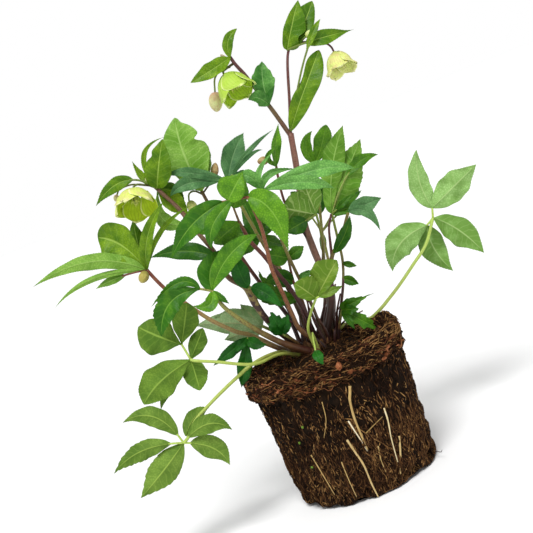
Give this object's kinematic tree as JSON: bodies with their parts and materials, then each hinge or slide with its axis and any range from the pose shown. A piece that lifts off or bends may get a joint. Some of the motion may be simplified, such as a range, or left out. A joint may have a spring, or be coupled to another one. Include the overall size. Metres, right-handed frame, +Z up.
{
  "type": "hellebore plant with its root ball",
  "caption": "Hellebore lifted from its pot: firm root ball that stands on its flat base, palmate leaves, forked stems, leafy bracts and nodding green flowers.",
  "frame": {"origin": "centre of the root ball's flat base", "axes": "+Z up along the root ball, -Y towards the front of the plant, +X to its right"},
  "size_m": [0.4616, 0.2001, 0.47],
  "materials": {
    "matted_roots": "damp compost and fibrous roots",
    "crown_wood": "rough rootstock with crumbs",
    "leaf": "leathery leaf, semi-gloss above, matt below",
    "stem": "smooth green stem flushed red-brown",
    "bract": "thin leafy bract, satin",
    "tepal": "waxy petal-like sepal, satin",
    "stamens": "matt stamens, nectaries and styles",
    "bud": "closed waxy bud"
  },
  "bodies": {
    "root": {"bract_big_lobed": "bract", "bract_left_branch_middle": "bract", "bract_right_lower": "bract", "bracts_centre_branch": "bract", "bracts_fork": "bract", "bracts_left_branch_tip": "bract", "bracts_left_stem": "bract", "bracts_right_upper": "bract", "bracts_sheath": "bract", "bracts_top": "bract", "bud_centre_lower": "bud", "bud_centre_upper": "bud", "bud_left_stem": "bud", "bud_shoot_left": "bud", "bud_top_left": "bud", "bud_top_right": "bud", "crown": "crown_wood", "flower_left_centre": "stamens", "flower_left_tepal_1": "tepal", "flower_left_tepal_2": "tepal", "flower_left_tepal_3": "tepal", "flower_left_tepal_4": "tepal", "flower_left_tepal_5": "tepal", "flower_stem_centre": "stem", "flower_stem_left": "stem", "flower_stem_right": "stem", "flower_stem_tall": "stem", "flower_top_left_centre": "stamens", "flower_top_left_tepal_1": "tepal", "flower_top_left_tepal_2": "tepal", "flower_top_left_tepal_3": "tepal", "flower_top_left_tepal_4": "tepal", "flower_top_left_tepal_5": "tepal", "flower_top_right_centre": "stamens", "flower_top_right_tepal_1": "tepal", "flower_top_right_tepal_2": "tepal", "flower_top_right_tepal_3": "tepal", "flower_top_right_tepal_4": "tepal", "flower_top_right_tepal_5": "tepal", "flowering_shoot_left": "leaf", "leaf_back_left": "leaf", "leaf_back_right": "leaf", "leaf_bluish": "leaf", "leaf_crown_left": "leaf", "leaf_dark_front": "leaf", "leaf_far_right": "leaf", "leaf_front_centre": "leaf", "leaf_front_left": "leaf", "leaf_long_centre": "leaf", "leaf_low_left": "leaf", "leaf_low_right": "leaf", "leaf_mid_left": "leaf", "leaf_olive_front": "leaf", "leaf_pale_behind": "leaf", "leaf_pale_veined": "leaf", "leaf_red_petiole": "leaf", "leaf_right_upright": "leaf", "leaf_upper_small": "leaf", "leaf_young_centre": "leaf", "root_ball": "matted_roots"}
  },
  "joints": []
}
